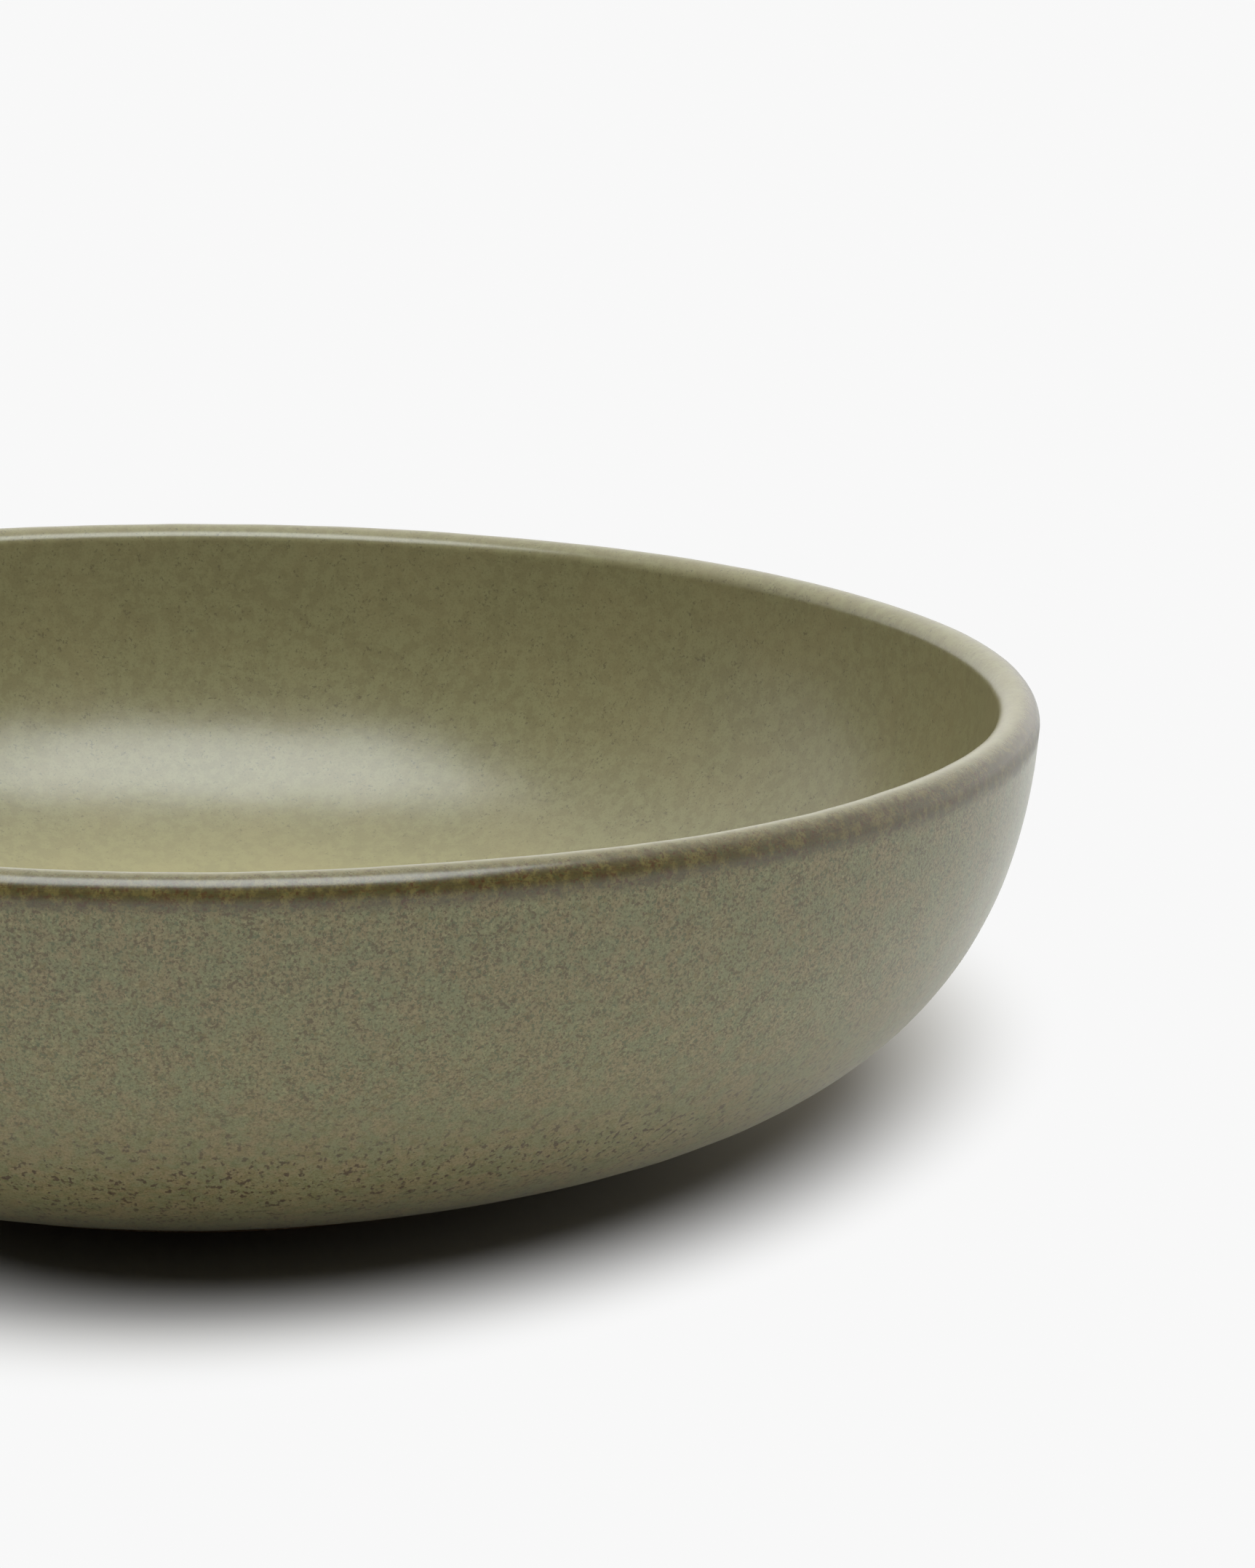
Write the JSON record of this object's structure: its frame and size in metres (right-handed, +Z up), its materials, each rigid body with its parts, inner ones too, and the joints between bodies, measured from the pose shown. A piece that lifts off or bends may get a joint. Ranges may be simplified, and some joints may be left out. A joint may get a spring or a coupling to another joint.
{
  "type": "deep plate",
  "caption": "Round coupe-shaped deep plate of glazed stoneware, with a rounded lip, a curved wall and a low bare foot ring.",
  "frame": {"origin": "on the table, under the middle of the plate, in the plane of the foot ring's resting face", "axes": "+Z up along the plate's axis of revolution; X and Y are alike, since the plate is round"},
  "size_m": [0.21, 0.21, 0.058],
  "materials": {
    "clay": "bare fired stoneware, fine-grained and dry",
    "glaze": "satin olive-grey reactive glaze with fine brown and blue-green specks"
  },
  "bodies": {
    "root": {"stoneware_body": "clay", "glaze": "glaze"}
  },
  "joints": []
}
